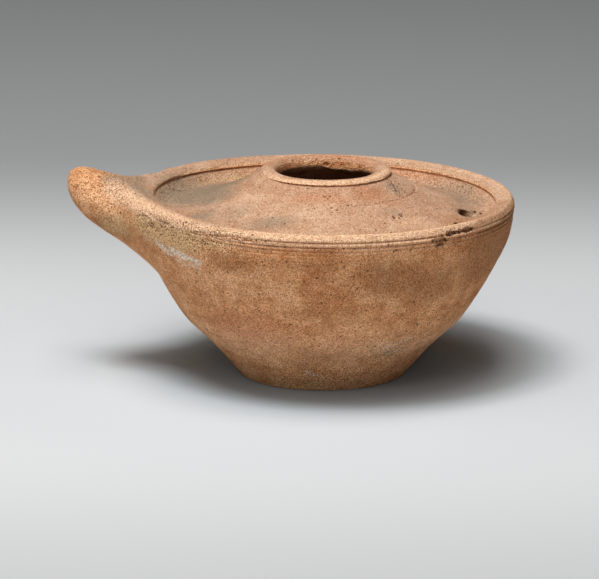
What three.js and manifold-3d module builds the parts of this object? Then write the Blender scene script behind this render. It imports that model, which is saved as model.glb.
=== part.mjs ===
// Terracotta oil lamp of one piece: a wheel-made bowl, a sunk lid with a raised filling collar,
// a small drain hole in the lid and a solid thumb-shaped lug.
// Millimetres, +Z up. The origin is the middle of the flat underside and the lug points along -X.
import * as THREE from "three";
import { mergeVertices } from "three/addons/utils/BufferGeometryUtils.js";
import Module from "manifold-3d";

const wasm = await Module();
wasm.setup();

// Driving dimensions of the bowl
const footRadius = 24.7;
const footEdgeHeight = 1.0;
const rimRadius = 55.2;
const rimHeight = 50.5;
const wall = 4.4;
const floorThickness = 5.2;
const leanPerMillimetre = 0.0113;
const dipPerMillimetre = 0.0075;

// Rim band: a rounded roll with fine turned grooves under it
const rimCrestRadius = 54.0;
const rimCrestHeight = 52.8;
const rimInnerRadius = 49.6;
const rimInnerHeight = 51.0;
const grooveDepth = 0.4;
const grooveHalfWidth = 0.34;
const grooveFlare = 0.06;
const grooves = [[55.02, 48.15], [55.18, 49.3]];
const ridge = [55.26, 50.05];
const rimCrease = [54.78, 50.7];
const rimRollStations = [
  [rimRadius - 0.15, 51.3],
  [rimCrestRadius, rimCrestHeight],
  [51.9, 52.5],
  [50.1, 51.85],
  [rimInnerRadius, rimInnerHeight],
];

// Sunk lid: a shallow gutter inside the rim and a hollow-sided cone up to the collar
const gutterRadius = 46.4;
const gutterHeight = 47.75;
const collarFootRadius = 19.0;
const collarFootHeight = 58.95;
const gutterSlope = [[50.0, 50.55], [48.7, 49.15]];
const coneStations = [
  [gutterRadius, gutterHeight],
  [40.0, 49.1],
  [32.5, 52.1],
  [26.3, 54.9],
  [collarFootRadius, collarFootHeight],
];

// Collar lip round the filling hole
const lipRadius = 19.3;
const lipTopHeight = 60.9;
const mouthRadius = 14.2;
const throatHeight = 57.6;
const throatFlare = 0.5;
const lipStations = [
  [lipRadius - 0.15, collarFootHeight + 0.4],
  [lipRadius, 59.85],
  [18.5, 60.45],
  [17.2, lipTopHeight],
  [15.7, 60.7],
  [14.6, 59.8],
  [mouthRadius, 58.6],
  [mouthRadius, throatHeight],
];

// Drain hole, pierced at a slant, with the lid pressed in beside it
const drainRadius = 1.9;
const drainPlace = [40.9, -5.8];
const drainRising = [0.38, -0.42, 0.82];
const drainLength = 18;
const pressedPlace = [41.3, -8.3];
const pressedDepth = 1.0;
const pressedRadius = 5;

// Lug: a thumb that rises from the upper wall, thick at the root and rounded at the tip
const lugReach = 74.8;
const lugTipHeight = 55.6;
const lugRise = 0.52;
const lugHalfHeight = 6.2;
const lugHeightTaper = 0.2;
const lugHalfWidth = 7.6;
const lugWidthTaper = 0.26;
const lugRounding = 7.7;
const lugRoundness = 2.3;

// Root of the lug: where it leaves the wall, and the wider patch over which it dies away
const rootDistance = 63.0;
const rootHalfAngle = THREE.MathUtils.degToRad(12.5);
const rootHalfShare = 0.38;
const flareHalfAngle = THREE.MathUtils.degToRad(45);
const flareHalfShare = 0.5;
const flareSink = 0.12;

// The rim is drawn up a little on either side of the lug
const rimLift = 1.5;
const rimLiftNarrowness = 5;

// Fineness of the round surfaces
const turns = 72;
const cavityTurns = 40;
const lugSides = 28;
const lugRings = 9;
const flareRings = 5;

// The outside of the bowl from the foot to just under the grooves, as radius and height
const bowlStations = [
  [footRadius + 0.5, footEdgeHeight],
  [26.8, 3.0],
  [29.4, 6.1],
  [33.9, 11.1],
  [40.7, 17.7],
  [45.7, 25.3],
  [49.8, 32.8],
  [53.4, 40.4],
  [54.8, 46.4],
];

function point(radius, height) {
  return new THREE.Vector2(radius, height);
}

function smoothCurve(stations) {
  return new THREE.SplineCurve(stations.map(([radius, height]) => point(radius, height)));
}

// A smooth run through a few stations of [radius, height]
function smoothRun(stations, steps) {
  return smoothCurve(stations).getSpacedPoints(steps);
}

// One fine groove: down to its bed and out again
function groove(radius, height) {
  return [
    point(radius, height - grooveHalfWidth),
    point(radius - grooveDepth, height),
    point(radius + grooveFlare, height + grooveHalfWidth),
  ];
}

function bowlOutside() {
  return [point(0, 0), point(footRadius, 0), ...smoothRun(bowlStations, 13)];
}

function rimBand() {
  return [...grooves.flatMap(([radius, height]) => groove(radius, height)), point(...ridge), point(...rimCrease)];
}

function rimRoll() {
  return smoothRun(rimRollStations, 7);
}

// From the foot of the rim's inner face across the gutter and up the hollow cone
function lidTop() {
  return [...gutterSlope.map(([radius, height]) => point(radius, height)), ...smoothRun(coneStations, 8)];
}

function collarLip() {
  return smoothRun(lipStations, 8);
}

// A place inside the wall, at a depth below a share of the bowl's outside
function offsetInwards(curve, share, depth) {
  const outside = curve.getPointAt(share);
  const along = curve.getTangentAt(share);
  return point(outside.x - along.y * depth, outside.y + along.x * depth);
}

// The hollow: widest under the lid, following the bowl's wall down to a rounded floor
function cavityOutline() {
  const bowl = smoothCurve(bowlStations);
  const inside = [0.24, 0.36, 0.48, 0.6, 0.72, 0.84].map((share) => offsetInwards(bowl, share, wall));
  return [
    point(0, floorThickness),
    point(18, floorThickness + 0.5),
    ...inside,
    point(49.6, 42.4),
    point(48.0, 44.2),
    point(41.0, 45.6),
    point(31.0, 49.2),
    point(22.5, 53.4),
    point(mouthRadius + 2.4, 56.2),
    point(mouthRadius + throatFlare, throatHeight + 0.4),
    point(0, throatHeight + 0.4),
  ];
}

// A solid from a closed geometry: only places are kept and faces without area are dropped
function solidFrom(geometry) {
  geometry.deleteAttribute("normal");
  geometry.deleteAttribute("uv");
  const merged = mergeVertices(geometry, 1e-4);
  const index = merged.index.array;
  const corners = [];
  for (let i = 0; i < index.length; i += 3) {
    const [a, b, c] = [index[i], index[i + 1], index[i + 2]];
    if (a !== b && b !== c && c !== a) corners.push(a, b, c);
  }
  return new wasm.Manifold(new wasm.Mesh({
    numProp: 3,
    vertProperties: new Float32Array(merged.attributes.position.array),
    triVerts: new Uint32Array(corners),
  }));
}

// A closed outline turned about the upright axis
function turned(outline, segments) {
  const geometry = new THREE.LatheGeometry(outline, segments);
  geometry.rotateX(Math.PI / 2);
  return solidFrom(geometry);
}

// The lug between its root and its tip, as a ring of points at a distance from the bowl's axis
function lugRing(distance) {
  const toTip = lugReach - distance;
  const rounding = Math.max(0, 1 - toTip / lugRounding);
  const swell = (1 - rounding ** lugRoundness) ** (1 / lugRoundness);
  const halfHeight = (lugHalfHeight + toTip * lugHeightTaper) * swell;
  const halfWidth = (lugHalfWidth + toTip * lugWidthTaper) * swell;
  const middle = lugTipHeight - toTip * lugRise;
  return sideAngles().map((angle) => new THREE.Vector3(
    -distance,
    Math.sin(angle) * halfWidth,
    middle + Math.cos(angle) * halfHeight,
  ));
}

function sideAngles() {
  return Array.from({ length: lugSides }, (_, side) => (side / lugSides) * 2 * Math.PI);
}

// The outside of the upper wall and the rim roll, over which the lug's root spreads
const rootPatch = smoothCurve([
  [48.0, 29.5],
  [49.8, 32.8],
  [53.4, 40.4],
  [54.8, 46.4],
  [rimRadius - 0.05, 50.5],
  [rimCrestRadius, rimCrestHeight],
  [51.9, 52.55],
  [rimInnerRadius, rimInnerHeight],
]);

function onPatch(turn, share) {
  const place = rootPatch.getPointAt(THREE.MathUtils.clamp(share, 0, 1));
  return new THREE.Vector3(-place.x * Math.cos(turn), place.x * Math.sin(turn), place.y);
}

// The root leaves the lug along its length and meets the wall along the wall's own curve
function flareRing(step) {
  const rootRing = lugRing(rootDistance);
  const spread = step * step;
  const lift = (1 - step) * (1 - step);
  const halfAngle = THREE.MathUtils.lerp(rootHalfAngle, flareHalfAngle, spread);
  const halfShare = THREE.MathUtils.lerp(rootHalfShare, flareHalfShare, spread);
  return sideAngles().map((angle, side) => {
    const start = onPatch(rootHalfAngle * Math.sin(angle), 0.5 + rootHalfShare * Math.cos(angle));
    const reach = rootRing[side].clone().sub(start).multiplyScalar(lift);
    const foot = onPatch(halfAngle * Math.sin(angle), 0.5 + halfShare * Math.cos(angle));
    const inward = new THREE.Vector3(-foot.x, -foot.y, 0).setLength(flareSink * spread);
    return foot.add(reach).add(inward);
  });
}

// A closed skin over rings of points, with a middle point at each end
function skinned(rings, first, last) {
  const places = [first, ...rings.flat(), last];
  const around = rings[0].length;
  const index = [];
  for (let side = 0; side < around; side += 1) {
    const next = (side + 1) % around;
    index.push(0, 1 + next, 1 + side);
    for (let ring = 0; ring + 1 < rings.length; ring += 1) {
      const [near, far] = [1 + ring * around, 1 + (ring + 1) * around];
      index.push(near + side, near + next, far + side);
      index.push(near + next, far + next, far + side);
    }
    const end = 1 + (rings.length - 1) * around;
    index.push(end + side, end + next, places.length - 1);
  }
  const geometry = new THREE.BufferGeometry().setFromPoints(places);
  geometry.setIndex(index);
  return solidFrom(geometry);
}

function lug() {
  const rings = [];
  for (let step = flareRings; step > 0; step -= 1) rings.push(flareRing(step / flareRings));
  for (let ring = 0; ring < lugRings; ring += 1) {
    const share = Math.sin((ring / lugRings) * Math.PI / 2);
    rings.push(lugRing(THREE.MathUtils.lerp(rootDistance, lugReach, share)));
  }
  const inside = new THREE.Vector3(-30, 0, 42);
  const tip = new THREE.Vector3(-lugReach, 0, lugTipHeight);
  return skinned(rings, inside, tip);
}

// What the lug keeps out of: everything inside the middle of the wall and above the lid
function insideOfWall() {
  const bowl = smoothCurve(bowlStations);
  const middle = [0.2, 0.4, 0.6, 0.8, 1].map((share) => offsetInwards(bowl, share, wall / 2));
  return turned([
    point(0, 2),
    point(20, 2),
    ...middle,
    point(51.0, 49.0),
    point(rimInnerRadius, rimInnerHeight),
    point(rimInnerRadius, 80),
    point(0, 80),
  ], turns);
}

function drainHole() {
  const geometry = new THREE.CylinderGeometry(drainRadius, drainRadius, drainLength, 20);
  const rising = new THREE.Vector3(...drainRising).normalize();
  geometry.applyQuaternion(new THREE.Quaternion().setFromUnitVectors(new THREE.Vector3(0, 1, 0), rising));
  geometry.translate(...drainPlace, gutterHeight);
  return solidFrom(geometry);
}

function pressedHollow() {
  const geometry = new THREE.SphereGeometry(pressedRadius, 20, 16);
  geometry.translate(...pressedPlace, gutterHeight + pressedRadius - pressedDepth);
  return solidFrom(geometry);
}

// How far the rim is drawn up at a place: most beside the lug, nothing on the lug itself
function liftAt(across, along, height) {
  const distance = Math.hypot(across, along);
  const towardsLug = (1 - across / Math.max(distance, 1)) / 2;
  const onRim = THREE.MathUtils.smoothstep(distance, 34, 48) - THREE.MathUtils.smoothstep(distance, 55, 66);
  return rimLift * towardsLug ** rimLiftNarrowness * onRim * THREE.MathUtils.smoothstep(height, 36, 50);
}

// The bowl leans a little towards +X, more the higher it goes, and its rim dips on that side
function handShaped(places) {
  for (let i = 0; i < places.length; i += 3) {
    const [across, along, height] = [places[i], places[i + 1], places[i + 2]];
    const share = Math.min(height / rimHeight, 1.2);
    const dip = across * dipPerMillimetre * share;
    places[i] = across + height * leanPerMillimetre;
    places[i + 2] = height - dip + liftAt(across, along, height);
  }
  return places;
}

function lampBody() {
  const outside = turned([
    ...bowlOutside(),
    ...rimBand(),
    ...rimRoll(),
    ...lidTop(),
    ...collarLip(),
    point(0, throatHeight),
  ], turns);
  const hollow = turned(cavityOutline(), cavityTurns);
  const handle = lug().subtract(insideOfWall());
  const whole = outside.add(handle).subtract(hollow).subtract(drainHole()).subtract(pressedHollow());
  const { vertProperties, triVerts } = whole.getMesh();
  const geometry = new THREE.BufferGeometry();
  geometry.setAttribute("position", new THREE.BufferAttribute(handShaped(vertProperties), 3));
  geometry.setIndex(new THREE.BufferAttribute(triVerts, 1));
  geometry.computeVertexNormals();
  const terracotta = new THREE.MeshStandardMaterial({ color: 0xb87952, roughness: 0.88, metalness: 0 });
  const mesh = new THREE.Mesh(geometry, terracotta);
  mesh.name = "lamp_body";
  return mesh;
}

const lamp = new THREE.Group();
lamp.add(lampBody());

export default lamp;
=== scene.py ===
"""A wheel-made terracotta oil lamp with a thumb lug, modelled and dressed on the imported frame."""
import logging
import math
import random
from dataclasses import dataclass, field
from enum import Enum
from typing import Any, Sequence

import bpy
import numpy as np
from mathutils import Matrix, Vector, noise


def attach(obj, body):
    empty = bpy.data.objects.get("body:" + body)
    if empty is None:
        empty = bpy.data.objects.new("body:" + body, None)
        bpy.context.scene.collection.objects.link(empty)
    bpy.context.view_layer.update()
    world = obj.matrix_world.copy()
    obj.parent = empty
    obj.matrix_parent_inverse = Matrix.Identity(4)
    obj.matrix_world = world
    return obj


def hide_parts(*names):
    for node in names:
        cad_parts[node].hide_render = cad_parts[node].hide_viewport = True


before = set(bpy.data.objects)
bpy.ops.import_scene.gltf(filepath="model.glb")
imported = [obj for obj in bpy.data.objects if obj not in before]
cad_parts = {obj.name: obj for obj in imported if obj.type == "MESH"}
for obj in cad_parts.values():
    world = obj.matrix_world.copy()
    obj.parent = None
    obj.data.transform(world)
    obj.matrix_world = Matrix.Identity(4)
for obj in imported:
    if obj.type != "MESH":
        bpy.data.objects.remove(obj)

LOG = logging.getLogger("oil_lamp")
MM = 0.001
NODE = "lamp_body"

Pair = tuple[float, float]
Profile = list[Pair]
Colour = tuple[float, float, float]
Stop = tuple[float, Colour]
Places = np.ndarray
WHITE: Colour = (1.0, 1.0, 1.0)


def smoothstep(value: Any, low: float, high: float) -> Any:
    """Return 0 below low, 1 above high and a smooth rise between them."""
    share = np.clip((value - low) / (high - low), 0.0, 1.0)
    return share * share * (3 - 2 * share)


def polar(places: Places) -> tuple[np.ndarray, np.ndarray]:
    """Return each place's distance from the upright axis and its turn about it in degrees."""
    return np.hypot(places[:, 0], places[:, 1]), np.degrees(np.arctan2(places[:, 1], places[:, 0]))


def about_axis(places: Places, scale: np.ndarray) -> Places:
    """Move places towards the upright axis, or away from it, by a scale."""
    return places * np.stack([scale, scale, np.ones(len(scale))], axis=1)


def spline_point(stations: Sequence[Sequence[float]], share: float) -> Pair:
    """Find a place on a smooth curve through stations.

    Args:
        stations: Radius and height pairs that the curve passes through.
        share: How far along the stations, from 0 to 1.

    Returns:
        The radius and height there.
    """
    spot = min(max(share, 0.0), 1.0) * (len(stations) - 1)
    first = min(int(spot), len(stations) - 2)
    part = spot - first
    before = stations[max(first - 1, 0)]
    start, end = stations[first], stations[first + 1]
    after = stations[min(first + 2, len(stations) - 1)]
    found = []
    for axis in range(2):
        leave = (end[axis] - before[axis]) / 2
        arrive = (after[axis] - start[axis]) / 2
        cubic = 2 * start[axis] - 2 * end[axis] + leave + arrive
        square = -3 * start[axis] + 3 * end[axis] - 2 * leave - arrive
        found.append(cubic * part ** 3 + square * part ** 2 + leave * part + start[axis])
    return found[0], found[1]


def spline_run(stations: Sequence[Sequence[float]], spacing: float) -> Profile:
    """Follow a smooth curve in even steps.

    Args:
        stations: Radius and height pairs that the curve passes through.
        spacing: The wanted distance between places, in millimetres.

    Returns:
        Places along the curve, both ends included.
    """
    fine = np.array([spline_point(stations, share) for share in np.linspace(0, 1, 400)])
    lengths = np.concatenate([[0], np.cumsum(np.linalg.norm(np.diff(fine, axis=0), axis=1))])
    count = max(2, round(lengths[-1] / spacing) + 1)
    wanted = np.linspace(0, lengths[-1], count)
    radii = np.interp(wanted, lengths, fine[:, 0])
    heights = np.interp(wanted, lengths, fine[:, 1])
    return list(zip(radii.tolist(), heights.tolist()))


@dataclass(frozen=True)
class Stretch:
    """A stretch with soft ends: where it rises from 0 to 1, and where it falls back to 0."""

    rise: Pair
    fall: Pair

    def share(self, value: np.ndarray) -> np.ndarray:
        """Return 1 on the stretch and 0 off it."""
        return smoothstep(value, *self.rise) * (1 - smoothstep(value, *self.fall))


@dataclass(frozen=True)
class Zone:
    """A ring-shaped space about the upright axis: its least and most radius, and height."""

    radii: Pair
    heights: Pair

    def holds(self, places: Places) -> np.ndarray:
        """Find the places that lie in the space.

        Args:
            places: Places in millimetres.

        Returns:
            A mask of them.
        """
        away, height = polar(places)[0], places[:, 2]
        ring = (away > self.radii[0]) & (away < self.radii[1])
        return ring & (height > self.heights[0]) & (height < self.heights[1])


@dataclass(frozen=True)
class Rough:
    """A rough field: how strong it is, the size of its lumps in millimetres, and its seed."""

    strength: float
    size: float
    seed: float

    def at(self, places: Places) -> np.ndarray:
        """Return the field's value, above or below 0, at each place."""
        shift = Vector((self.seed, -self.seed * 0.7, self.seed * 1.3))
        return self.strength * np.array([noise.noise(Vector(place) / self.size + shift) for place in places])


class Workshop:
    """Blender's own modelling tools, used one after another on one piece."""

    WELD = 0.005

    @staticmethod
    def clear() -> None:
        """Leave edit mode and deselect everything."""
        if bpy.context.object is not None and bpy.context.object.mode != "OBJECT":
            bpy.ops.object.mode_set(mode="OBJECT")
        bpy.ops.object.select_all(action="DESELECT")

    @staticmethod
    def pick_up(piece: bpy.types.Object) -> None:
        """Make one piece the only selected and active one.

        Args:
            piece: The piece to work on.
        """
        Workshop.clear()
        piece.select_set(True)
        bpy.context.view_layer.objects.active = piece

    @staticmethod
    def turned(name: str, outline: Profile, steps: int) -> bpy.types.Object:
        """Turn an outline about the upright axis into a closed piece.

        Args:
            name: The piece's name.
            outline: Radius and height pairs in millimetres, starting and ending on the axis.
            steps: How many steps the full turn takes.

        Returns:
            The turned piece.
        """
        Workshop.clear()
        start = (outline[0][0] * MM, 0, outline[0][1] * MM)
        bpy.ops.mesh.primitive_plane_add(size=MM, location=start)
        piece = bpy.context.object
        piece.name = name
        bpy.ops.object.transform_apply(location=True, rotation=False, scale=False)
        bpy.ops.object.mode_set(mode="EDIT")
        bpy.ops.mesh.select_mode(type="VERT")
        bpy.ops.mesh.select_all(action="SELECT")
        bpy.ops.mesh.merge(type="CENTER")
        for here, there in zip(outline, outline[1:]):
            step = ((there[0] - here[0]) * MM, 0.0, (there[1] - here[1]) * MM)
            bpy.ops.mesh.extrude_vertices_move(TRANSFORM_OT_translate={"value": step})
        bpy.ops.mesh.select_all(action="SELECT")
        bpy.ops.mesh.spin(steps=steps, angle=math.tau, center=(0, 0, 0), axis=(0, 0, 1))
        bpy.ops.mesh.select_all(action="SELECT")
        bpy.ops.mesh.remove_doubles(threshold=Workshop.WELD * MM)
        bpy.ops.mesh.normals_make_consistent(inside=False)
        bpy.ops.object.mode_set(mode="OBJECT")
        return piece

    @staticmethod
    def cut_or_join(piece: bpy.types.Object, tool: bpy.types.Object, operation: str) -> None:
        """Join a tool to a piece, or cut it away, and delete the tool.

        Args:
            piece: The piece that is kept.
            tool: The piece that is joined or cut away.
            operation: UNION or DIFFERENCE.
        """
        Workshop.pick_up(piece)
        work = piece.modifiers.new("work", "BOOLEAN")
        work.operation = operation
        work.solver = "EXACT"
        work.object = tool
        bpy.ops.object.modifier_apply(modifier=work.name)
        bpy.data.objects.remove(tool, do_unlink=True)

    @staticmethod
    def places(piece: bpy.types.Object) -> Places:
        """Read a piece's vertices.

        Args:
            piece: The piece.

        Returns:
            One row for each vertex, in millimetres.
        """
        flat = np.empty(len(piece.data.vertices) * 3)
        piece.data.vertices.foreach_get("co", flat)
        return flat.reshape(-1, 3) / MM

    @staticmethod
    def normals(piece: bpy.types.Object) -> Places:
        """Read a piece's vertex normals.

        Args:
            piece: The piece.

        Returns:
            One row for each vertex.
        """
        flat = np.empty(len(piece.data.vertices) * 3)
        piece.data.vertex_normals.foreach_get("vector", flat)
        return flat.reshape(-1, 3)

    @staticmethod
    def ends(piece: bpy.types.Object) -> np.ndarray:
        """Read which vertices each edge joins.

        Args:
            piece: The piece.

        Returns:
            One row of two vertex numbers for each edge.
        """
        flat = np.empty(len(piece.data.edges) * 2, dtype=np.int32)
        piece.data.edges.foreach_get("vertices", flat)
        return flat.reshape(-1, 2)

    @staticmethod
    def put(piece: bpy.types.Object, places: Places) -> None:
        """Move the piece's vertices to new places in millimetres."""
        piece.data.vertices.foreach_set("co", (places * MM).ravel())
        piece.data.update()

    @staticmethod
    def select_where(piece: bpy.types.Object, chosen: np.ndarray) -> None:
        """Select the chosen vertices with the edges and faces between them, and enter edit mode.

        Args:
            piece: The piece.
            chosen: A mask of its vertices.
        """
        Workshop.pick_up(piece)
        mesh = piece.data
        whole_faces = [all(chosen[vertex] for vertex in face.vertices) for face in mesh.polygons]
        mesh.vertices.foreach_set("select", chosen)
        mesh.edges.foreach_set("select", chosen[Workshop.ends(piece)].all(axis=1))
        mesh.polygons.foreach_set("select", whole_faces)
        bpy.ops.object.mode_set(mode="EDIT")
        bpy.ops.mesh.select_mode(type="VERT")

    @staticmethod
    def refine(piece: bpy.types.Object, chosen: np.ndarray, cuts: int) -> None:
        """Divide the faces between chosen vertices into smaller ones.

        Args:
            piece: The piece.
            chosen: A mask of its vertices.
            cuts: How many cuts each edge gets.
        """
        Workshop.select_where(piece, chosen)
        bpy.ops.mesh.subdivide(number_cuts=cuts, smoothness=0)
        bpy.ops.object.mode_set(mode="OBJECT")

    @staticmethod
    def smooth(piece: bpy.types.Object, chosen: np.ndarray, rounds: int) -> None:
        """Relax the chosen vertices towards their neighbours.

        Args:
            piece: The piece.
            chosen: A mask of its vertices.
            rounds: How many times they are relaxed.
        """
        Workshop.select_where(piece, chosen)
        bpy.ops.mesh.vertices_smooth(factor=0.5, repeat=rounds)
        bpy.ops.object.mode_set(mode="OBJECT")


class Stain(Enum):
    """What can lie on the clay or colour it, and the painted shade and highlights on it, each kept as a mask
    on the mesh.
    """

    TOP = "top"
    LIME = "lime"
    OLIVE = "olive"
    TAN = "tan"
    CREAM = "cream"
    RED = "red"
    GREY = "grey"
    BROWN = "brown"
    GRIT = "grit"
    SOOT = "soot"

    def cloud_seed(self) -> float:
        """Return a seed from the stain's name, so that the stains break up differently."""
        return 3.1 * len(self.value) + ord(self.value[0]) * 0.17


@dataclass(frozen=True)
class Patch:
    """A soft area round one place or along a line: reach in millimetres, and strength."""

    middle: tuple[float, float, float]
    reach: tuple[float, float, float]
    strength: float = 1.0
    end: tuple[float, float, float] | None = None

    def mask(self, places: Places) -> np.ndarray:
        """Work out how much of a stain lies on each place.

        Args:
            places: Places in millimetres.

        Returns:
            One share for each place, 0 far away.
        """
        reach = np.array(self.reach)
        away = (places - np.array(self.middle)) / reach
        if self.end is not None:
            line = (np.array(self.end) - np.array(self.middle)) / reach
            share = np.clip(away @ line / (line @ line), 0.0, 1.0)
            away = away - share[:, None] * line
        return self.strength * np.exp(-(away ** 2).sum(axis=1))


@dataclass(frozen=True)
class Band:
    """A soft ring: its radius, height, reach across and up, its turns in degrees, and strength."""

    radius: float
    height: float
    reach: Pair
    turns: Pair = (-180.0, 180.0)
    fade: float = 20.0
    strength: float = 1.0

    def mask(self, places: Places) -> np.ndarray:
        """Work out how much of a stain lies on each place.

        Args:
            places: Places in millimetres.

        Returns:
            One share for each place, 0 far away.
        """
        away, turn = polar(places)
        across = ((away - self.radius) / self.reach[0]) ** 2
        up = ((places[:, 2] - self.height) / self.reach[1]) ** 2
        start, end = self.turns
        ring = self.strength * np.exp(-(across + up))
        if end - start >= 360:
            return ring
        return ring * Stretch((start - self.fade, start), (end, end + self.fade)).share(turn)


class Side(Enum):
    """Which way a mark faces: outwards on the wall, or upwards on the lid."""

    WALL = "wall"
    LID = "lid"


@dataclass(frozen=True)
class Wound:
    """A chip, pit or dent: its middle, its reach along and across, its depth and its turn."""

    middle: tuple[float, float, float]
    reach: Pair
    depth: float
    jagged: float = 0.5
    grain: float = 0.9
    side: Side = Side.WALL
    turn: float = 0.0
    edge: float = 0.45

    def axes(self) -> tuple[np.ndarray, np.ndarray]:
        """Find how the mark lies.

        Returns:
            The directions along and across the mark.
        """
        if self.side is Side.LID:
            along, across = np.array([1.0, 0.0, 0.0]), np.array([0.0, 1.0, 0.0])
        else:
            outward = np.array(self.middle) / math.hypot(*self.middle[:2])
            along, across = np.array([-outward[1], outward[0], 0.0]), np.array([0.0, 0.0, 1.0])
        cos, sin = math.cos(math.radians(self.turn)), math.sin(math.radians(self.turn))
        return along * cos + across * sin, across * cos - along * sin

    def sink(self, places: Places, normals: Places) -> Places:
        """Push places inwards under the wound.

        Args:
            places: Vertices in millimetres.
            normals: Their normals.

        Returns:
            The moved vertices.
        """
        away = places - np.array(self.middle)
        near = np.linalg.norm(away, axis=1) < 3.0 * max(self.reach)
        if not near.any():
            return places
        along, across = self.axes()
        wide = away[near] @ along / self.reach[0]
        tall = away[near] @ across / self.reach[1]
        ragged = Rough(self.jagged, self.grain, 31.0).at(places[near])
        weight = smoothstep(1.0 - np.sqrt(wide ** 2 + tall ** 2) + ragged, 0.0, self.edge)
        broken = 1.0 + Rough(0.5, self.grain * 0.6, 77.0).at(places[near])
        moved = places.copy()
        moved[near] -= normals[near] * (self.depth * weight * broken)[:, None]
        return moved


@dataclass
class Bowl:
    """The turned body: foot, wall, grooved rim band, rim roll, sunk lid, collar and hollow.

    Outlines are radius and height pairs in millimetres. A groove is a height, a depth and a half
    width, and a ridge is a groove of less than no depth.
    """

    steps: int = 360
    foot_radius: float = 24.7
    wall: float = 4.4
    floor: float = 5.2
    band_base: Pair = (54.8, 46.4)
    band_top: float = 50.95
    band_flare: float = 0.3
    band_start: float = 0.2
    band_rows: int = 30
    grooves: tuple[tuple[float, float, float], ...] = (
        (46.95, 0.1, 0.2), (48.15, 0.27, 0.2), (49.3, 0.32, 0.2), (50.72, 0.4, 0.2),
        (48.7, -0.08, 0.2), (50.05, -0.18, 0.24),
    )
    crest: Pair = (54.0, 52.8)
    inner_edge: Pair = (49.6, 51.0)
    gutter: Pair = (46.4, 47.75)
    fine_cone: Pair = (24.9, 27.1)
    fine_parts: int = 5
    collar_foot: Pair = (19.0, 58.95)
    lip_radius: float = 19.3
    lip_top: float = 60.75
    mouth_radius: float = 14.2
    hollow_shares: tuple[float, ...] = (0.86, 0.74, 0.62, 0.5, 0.38, 0.27)

    def stations(self) -> Profile:
        """Shape the outside of the wall.

        Returns:
            The outline from the foot to under the grooves.
        """
        return [
            (self.foot_radius + 0.5, 1.0), (26.8, 3.0), (29.4, 6.1), (33.9, 11.1), (40.7, 17.7),
            (45.7, 25.3), (49.8, 32.8), (53.4, 40.4), self.band_base,
        ]

    def band(self) -> Profile:
        """Shape the band under the rim: fine turned grooves, a sharp ridge and a crease.

        Returns:
            The band's outline from its base up.
        """
        base_radius, base_height = self.band_base
        places = []
        for height in np.linspace(base_height + self.band_start, self.band_top, self.band_rows).tolist():
            radius = base_radius + self.band_flare * (height - base_height) / (self.band_top - base_height)
            for middle, depth, half in self.grooves:
                radius -= depth * math.exp(-((height - middle) / half) ** 2)
            places.append((radius, height))
        return places

    def lid(self) -> Profile:
        """Shape the sunk lid, with more rows where a line is turned into the cone.

        Returns:
            The outline from the rim's inner face to the foot of the collar.
        """
        radius, height = self.inner_edge
        undercut = [(radius + 0.3, height - 0.2), (radius + 0.42, height - 0.45)]
        undercut += [(radius + 0.25, height - 0.72)]
        slope = [(radius - 0.15, height - 1.05), (48.7, 49.15), (47.6, 48.2), self.gutter]
        rise = [self.gutter, (40.0, 49.1), (32.5, 52.1), (26.3, 54.9), self.collar_foot]
        coarse = spline_run(rise, 0.9)
        cone = []
        for here, there in zip(coarse, coarse[1:]):
            fine = self.fine_cone[0] < (here[0] + there[0]) / 2 < self.fine_cone[1]
            parts = self.fine_parts if fine else 1
            for part in range(parts):
                share = part / parts
                cone.append((here[0] + (there[0] - here[0]) * share, here[1] + (there[1] - here[1]) * share))
        return undercut + spline_run(slope, 0.45) + cone[1:] + [coarse[-1]]

    def collar(self) -> Profile:
        """Shape the collar.

        Returns:
            The outline of its lip and of the throat under it.
        """
        foot_radius, foot_height = self.collar_foot
        crease = [(foot_radius - 0.12, foot_height + 0.16), (foot_radius - 0.1, foot_height + 0.3)]
        lip = [
            (self.lip_radius - 0.15, foot_height + 0.4), (self.lip_radius, 59.85), (18.5, 60.45),
            (17.2, self.lip_top), (15.7, self.lip_top - 0.1), (14.6, 59.8), (self.mouth_radius, 58.6),
            (self.mouth_radius, 57.7),
        ]
        return crease + spline_run(lip, 0.33)

    def hollow(self) -> Profile:
        """Shape the inside of the vessel, a wall's thickness within the outside.

        Returns:
            The outline from under the throat to the middle of the floor.
        """
        stations = self.stations()
        inside = []
        for share in self.hollow_shares:
            here, ahead = spline_point(stations, share), spline_point(stations, share + 0.01)
            run = math.hypot(ahead[0] - here[0], ahead[1] - here[1])
            along = ((ahead[0] - here[0]) / run, (ahead[1] - here[1]) / run)
            inside.append((here[0] - along[1] * self.wall, here[1] + along[0] * self.wall))
        under_lid = [(14.6, 57.3), (16.6, 56.2), (22.5, 53.4), (31.0, 49.2), (41.0, 45.6), (48.0, 44.2)]
        bottom = [(18.0, self.floor + 0.5), (9.0, self.floor), (0.0, self.floor)]
        return under_lid + [(49.6, 42.4)] + inside + bottom

    def outline(self) -> Profile:
        """Join the parts of the outline.

        Returns:
            The whole outline, from the middle of the foot to the middle of the floor.
        """
        edge = self.foot_radius
        foot = [(0.0, 0.0), (12.0, 0.0), (edge - 1.2, 0.0), (edge - 0.4, 0.06), (edge, 0.25)]
        wall = spline_run(self.stations(), 1.0)
        roll = spline_run([(55.05, 51.3), self.crest, (51.9, 52.5), (50.1, 51.85), self.inner_edge], 0.42)
        return foot + wall + self.band() + roll + self.lid() + self.collar() + self.hollow()

    def build(self) -> bpy.types.Object:
        """Turn the body."""
        return Workshop.turned("oil_lamp", self.outline(), self.steps)

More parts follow.
